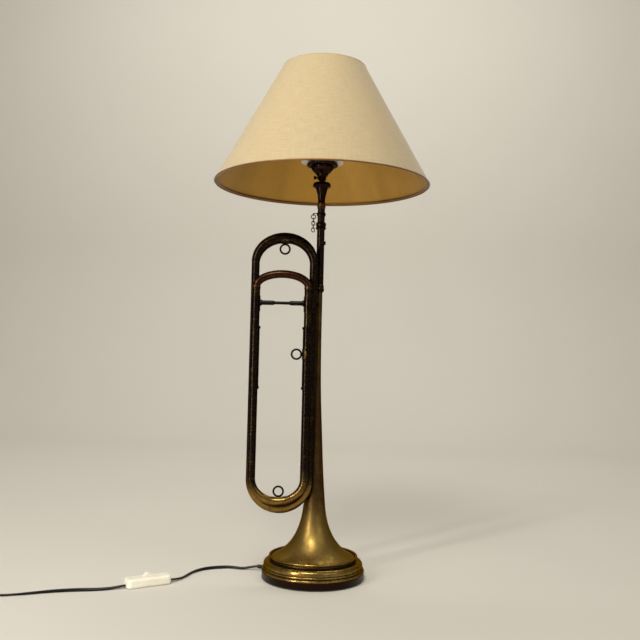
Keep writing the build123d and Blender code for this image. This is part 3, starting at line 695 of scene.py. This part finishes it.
# ---- shade --------------------------------------------------------------------------
class ShadeSettings(PropertyGroup):
    linen: FloatVectorProperty(name="Linen", description="Colour of the outside", subtype="COLOR",
                               size=3, min=0, max=1, default=shade_of(178, 163, 128)[:3])
    gold: FloatVectorProperty(name="Gold", description="Colour of the lining", subtype="COLOR",
                              size=3, min=0, max=1, default=shade_of(194, 146, 55)[:3])
    yarn: FloatProperty(name="Yarn pitch", description="Distance from one yarn to the next",
                        default=0.0006, subtype="DISTANCE", unit="LENGTH")
    top_radius: FloatProperty(name="Top radius", description="Radius at the upper rim",
                              default=0.0579, subtype="DISTANCE", unit="LENGTH")
    seam_angle: FloatProperty(name="Seam", description="Where the cloth overlaps, round from +X",
                              default=math.radians(13), subtype="ANGLE", unit="ROTATION")
    columns: IntProperty(name="Columns", description="Columns of the cloth round the shade",
                         default=256, min=48)


def cone_sheet(name, settings, inset, thick, lap, ripple, rows=56):
    """A conical cloth shell of the shade: two skins joined at both rims. The cloth
    overlaps itself at the seam by the width lap and stands proud there."""
    low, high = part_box("shade_cover")
    wide = high.x
    narrow = settings.top_radius
    slant = math.hypot(wide - narrow, high.z - low.z)
    angles = [settings.seam_angle + 2 * math.pi * step / settings.columns
              for step in range(settings.columns)]
    for offset in (-0.0006, 0.0006, 0.003, lap - 0.0006, lap + 0.0006):
        angles.append(settings.seam_angle + offset / (0.7 * wide) + (2 * math.pi if offset < 0 else 0))
    angles.sort()
    points = []
    thread = []
    for skin in (0.0, thick):
        order = range(rows) if skin == 0.0 else range(rows - 1, -1, -1)
        for row in order:
            share = row / (rows - 1)
            flat = wide + (narrow - wide) * share
            height = low.z + (high.z - low.z) * share
            for angle in angles:
                round_seam = (angle - settings.seam_angle) * 0.7 * wide
                proud = 0.00045 if 0 <= round_seam <= lap else 0.0
                spot = Vector((math.cos(angle) * 2.2, math.sin(angle) * 2.2, share * 2.5))
                wave = noise.noise(spot + Vector((inset * 900, 0, 0))) * ripple
                panel = noise.noise(spot * 3.1) * ripple * 0.3
                radius = flat - inset - skin + proud + wave + panel
                points.append((radius * math.cos(angle), radius * math.sin(angle), height))
                thread.append((angle * 0.7 * wide, share * slant, inset))
    return mesh_of(name, points, ring_faces(2 * rows, len(angles), closed=True), thread)


def rim_roll(name, radius, height, tall, wide, wrap, columns=240, wobble=0.0):
    """A rolled edge or taped wire: an oval bead round the rim, with its tape's turns."""
    around = 12
    points = []
    thread = []
    for step in range(columns):
        turn = 2 * math.pi * step / columns
        for place in range(around):
            lean = 2 * math.pi * place / around
            swell = 1.0 + wrap * abs(math.sin(columns / 8 * turn + lean))
            wander = noise.noise(Vector((math.cos(turn) * 3, math.sin(turn) * 3, radius * 20))) * wobble
            out = radius + wander + wide * swell * math.cos(lean)
            points.append((out * math.cos(turn), out * math.sin(turn),
                           height + tall * swell * math.sin(lean)))
            thread.append((turn * radius, lean * wide, 0.0))
    return mesh_of(name, points, ring_faces(columns, around, closed=True), thread)


class LAMP_OT_shade(Operator):
    """Make the linen cone, its gold lining, its rolled rims and taped wires"""

    bl_idname = "bugle_lamp.shade"
    bl_label = "Shade"

    def execute(self, context):
        settings = context.scene.lamp_shade
        low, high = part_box("shade_cover")
        slope = (high.x - settings.top_radius) / (high.z - low.z)
        linen = new_piece("shade_linen", cone_sheet("shade_linen", settings, 0.0, 0.0004, 0.011, 0.00028),
                          "shade_fabric", "shade", ["shade_cover"])
        lining = new_piece("shade_gold_lining",
                           cone_sheet("shade_gold_lining", settings, 0.0009, 0.00025, 0.014, 0.00022),
                           "gold_lining", "shade", ["shade_lining"])
        for name, height in (("lower", low.z + 0.002), ("upper", high.z - 0.002)):
            reach = high.x - (height - low.z) * slope - 0.0012 - 0.0015
            mesh = rim_roll(f"{name}_taped_wire", reach, height, 0.0014, 0.0014, 0.08)
            new_piece(f"{name}_taped_wire", mesh, "gold_lining", "shade")
        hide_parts("shade_wires")
        for name, height, reach, slot in (
                ("lower_rolled_edge", low.z + 0.0006, high.x - 0.0010, "gold_lining"),
                ("upper_rolled_edge", high.z - 0.0006, settings.top_radius - 0.0006, "shade_fabric")):
            mesh = rim_roll(name, reach, height, 0.0011, 0.0013, 0.0, wobble=0.0002)
            new_piece(name, mesh, slot, "shade")
        dress(["shade_spider"])
        return {"FINISHED"}


# ---- the pieces that keep their shape --------------------------------------------------
class LAMP_OT_base(Operator):
    """Finish the turned base, its felt and what holds the bell down"""

    bl_idname = "bugle_lamp.base"
    bl_label = "Base"

    def execute(self, context):
        dress(["base_felt", "base_plinth", "base_moulding", "conduit_rod", "throat_plug", "rod_nuts"])
        return {"FINISHED"}


class LAMP_OT_bell(Operator):
    """Finish the bell, its rim, the stem, the mouthpipe and the mouthpiece"""

    bl_idname = "bugle_lamp.bell"
    bl_label = "Bell and mouthpiece"

    def execute(self, context):
        dress(["bell", "bell_rim", "stem_ferrule", "mouthpipe", "receiver_collar", "mouthpiece",
               "mouthpiece_band"])
        return {"FINISHED"}


class LAMP_OT_tubing(Operator):
    """Finish the two loops of tubing and the tuning slide"""

    bl_idname = "bugle_lamp.tubing"
    bl_label = "Tubing"

    def execute(self, context):
        dress([*TUBING, "slide_bow"])
        return {"FINISHED"}


class LAMP_OT_fittings(Operator):
    """Finish the cord rings, their feet, the brace and the chain"""

    bl_idname = "bugle_lamp.fittings"
    bl_label = "Rings and chain"

    def execute(self, context):
        dress([*BLACKENED, "ring_feet"])
        return {"FINISHED"}


class LAMP_OT_lampholder(Operator):
    """Finish the lampholder and its inner parts"""

    bl_idname = "bugle_lamp.lampholder"
    bl_label = "Lampholder"

    def execute(self, context):
        dress(["cup_bush", "holder_nipple", "holder_nut", "holder_cap", "holder_body",
               "shade_ring_nut", "holder_insulator", "screw_shell", "centre_contact"])
        return {"FINISHED"}


class LAMP_OT_switch(Operator):
    """Finish the in-line switch and the plug"""

    bl_idname = "bugle_lamp.switch"
    bl_label = "Switch and plug"

    def execute(self, context):
        dress(["switch_base", "switch_cover", "switch_rocker", "switch_terminals", "plug_body",
               "plug_pins"])
        return {"FINISHED"}


# ---- stage ------------------------------------------------------------------------------
class StageSettings(PropertyGroup):
    floor: FloatVectorProperty(name="Floor", description="Colour of the floor and the backdrop",
                               subtype="COLOR", size=3, min=0, max=1,
                               default=shade_of(208, 205, 197)[:3])
    camera_height: FloatProperty(name="Camera height", description="Height of the lens above the floor",
                                 default=0.300565, subtype="DISTANCE", unit="LENGTH")
    camera_distance: FloatProperty(name="Camera distance", description="From the lens to the lamp's axis",
                                   default=1.123986, subtype="DISTANCE", unit="LENGTH")
    camera_side: FloatProperty(name="Camera side", description="How far the lens stands to the right",
                               default=0.018656, subtype="DISTANCE", unit="LENGTH")
    pitch: FloatProperty(name="Pitch", description="Upward tilt of the camera", default=0.0470,
                         subtype="ANGLE", unit="ROTATION")
    yaw: FloatProperty(name="Yaw", description="Turn of the camera to the right", default=-0.0150,
                       subtype="ANGLE", unit="ROTATION")
    roll: FloatProperty(name="Roll", description="Lean of the camera", default=-0.0240,
                        subtype="ANGLE", unit="ROTATION")
    angle: FloatProperty(name="Field of view", description="Angle that the square picture takes in",
                         default=0.75317, subtype="ANGLE", unit="ROTATION")


def make_camera(settings):
    """The camera, a little below the middle of the lamp and looking slightly up."""
    data = bpy.data.cameras.new("camera")
    data.sensor_fit = "HORIZONTAL"
    data.angle = settings.angle
    data.clip_start = 0.05
    data.clip_end = 50
    camera = bpy.data.objects.new("camera", data)
    bpy.context.scene.collection.objects.link(camera)
    ahead = Vector((math.sin(settings.yaw) * math.cos(settings.pitch),
                    math.cos(settings.yaw) * math.cos(settings.pitch), math.sin(settings.pitch)))
    level = Vector((math.cos(settings.yaw), -math.sin(settings.yaw), 0))
    up = level.cross(ahead)
    right = level * math.cos(settings.roll) - up * math.sin(settings.roll)
    top = up * math.cos(settings.roll) + level * math.sin(settings.roll)
    turned = Matrix((right, top, -ahead)).transposed().to_4x4()
    stand = Vector((settings.camera_side, -settings.camera_distance, settings.camera_height))
    camera.matrix_world = Matrix.Translation(stand) @ turned
    bpy.context.scene.camera = camera


def make_floor(settings):
    """A pale floor that curves up into a pale backdrop a long way behind."""
    material, tree, shader = start_material("studio_paper", Roughness=0.9, Specular_IOR_Level=0.2)
    mottle = tree.noise(tree.place(), 3.0, 4.0, 0.5)
    paper = (*settings.floor, 1.0)
    tree.feed(shader["Base Color"], tree.mix(tree.between(mottle, 0.3, 0.7, 0.0, 0.08), paper,
                                             shade_of(196, 190, 178)))
    far = 2.4
    sweep = 0.8
    profile = [(-4.0, 0.0), (far - sweep, 0.0)]
    profile += [(far - sweep + sweep * math.sin(turn), sweep - sweep * math.cos(turn))
                for turn in (math.pi / 2 * step / 16 for step in range(1, 17))]
    profile.append((far, 4.0))
    points = [(x, y, z) for y, z in profile for x in (-5.0, 5.0)]
    faces = [(2 * i, 2 * i + 1, 2 * i + 3, 2 * i + 2) for i in range(len(profile) - 1)]
    mesh = mesh_of("backdrop", points, faces)
    mesh.materials.append(material)
    floor = bpy.data.objects.new("backdrop", mesh)
    bpy.context.scene.collection.objects.link(floor)


def area_light(name, spot, aim, size, power, tint):
    """A soft rectangular light aimed at a point."""
    data = bpy.data.lights.new(name, "AREA")
    data.shape = "RECTANGLE"
    data.size, data.size_y = size
    data.energy = power
    data.color = tint
    light = bpy.data.objects.new(name, data)
    light.location = spot
    light.rotation_mode = "QUATERNION"
    light.rotation_quaternion = (Vector(aim) - Vector(spot)).to_track_quat("-Z", "Y")
    bpy.context.scene.collection.objects.link(light)


def make_lights():
    """A high front light, a narrow strip from the front left that draws the lines on
    the tubing, a dim fill from the right and a wash over the backdrop."""
    warm = (1.0, 0.94, 0.85)
    area_light("high_front", (-0.26, -1.0, 1.5), (0, 0, 0.12), (0.5, 0.5), 14, warm)
    area_light("window", (-0.90, -1.0, 0.60), (-0.03, 0, 0.34), (0.09, 1.2), 10, (1.0, 0.96, 0.9))
    area_light("fill", (1.6, -1.7, 1.6), (0, 0, 0.4), (1.6, 1.6), 8, (1.0, 0.97, 0.93))
    area_light("wall_wash", (0.0, 0.9, 2.3), (0, 2.2, 0.7), (2.4, 0.6), 30, (1.0, 0.96, 0.9))
    world = bpy.data.worlds.new("studio")
    world.use_nodes = True
    tree = Tree(world.node_tree)
    seen = tree.add("ShaderNodeLightPath").outputs["Is Camera Ray"]
    shader = world.node_tree.nodes["Background"]
    shader.inputs["Color"].default_value = shade_of(228, 223, 211)
    tree.feed(shader.inputs["Strength"], tree.between(seen, 0.0, 1.0, 0.38, 0.9))
    bpy.context.scene.world = world
    bpy.context.scene.view_settings.view_transform = "Standard"


class LAMP_OT_stage(Operator):
    """Set up the camera, the floor, the backdrop and the lights"""

    bl_idname = "bugle_lamp.stage"
    bl_label = "Stage"

    def execute(self, context):
        make_camera(context.scene.lamp_stage)
        make_floor(context.scene.lamp_stage)
        make_lights()
        return {"FINISHED"}


# ---- add-on -----------------------------------------------------------------------------
OPERATORS = (LAMP_OT_stage, LAMP_OT_flex, LAMP_OT_base, LAMP_OT_bell, LAMP_OT_tubing,
             LAMP_OT_fittings, LAMP_OT_lampholder, LAMP_OT_shade, LAMP_OT_switch)
SETTINGS = {"lamp_flex": FlexSettings, "lamp_shade": ShadeSettings, "lamp_stage": StageSettings}


class LAMP_PT_panel(Panel):
    """Buttons for each piece of the lamp and the settings behind them"""

    bl_idname = "LAMP_PT_panel"
    bl_label = "Bugle Lamp"
    bl_space_type = "VIEW_3D"
    bl_region_type = "UI"
    bl_category = "Bugle Lamp"

    def draw(self, context):
        for operator in OPERATORS:
            self.layout.operator(operator.bl_idname)
        for name, kind in SETTINGS.items():
            box = self.layout.box()
            for key in kind.__annotations__:
                box.prop(getattr(context.scene, name), key)


def register():
    for kind in (*SETTINGS.values(), *OPERATORS, LAMP_PT_panel):
        bpy.utils.register_class(kind)
    for name, kind in SETTINGS.items():
        setattr(bpy.types.Scene, name, PointerProperty(type=kind))


def unregister():
    for name in SETTINGS:
        delattr(bpy.types.Scene, name)
    for kind in reversed((*SETTINGS.values(), *OPERATORS, LAMP_PT_panel)):
        bpy.utils.unregister_class(kind)


def main():
    """Make every piece in order."""
    register()
    for operator in OPERATORS:
        group, name = operator.bl_idname.split(".")
        getattr(getattr(bpy.ops, group), name)()
    bpy.context.view_layer.update()


if __name__ == "__main__":
    main()
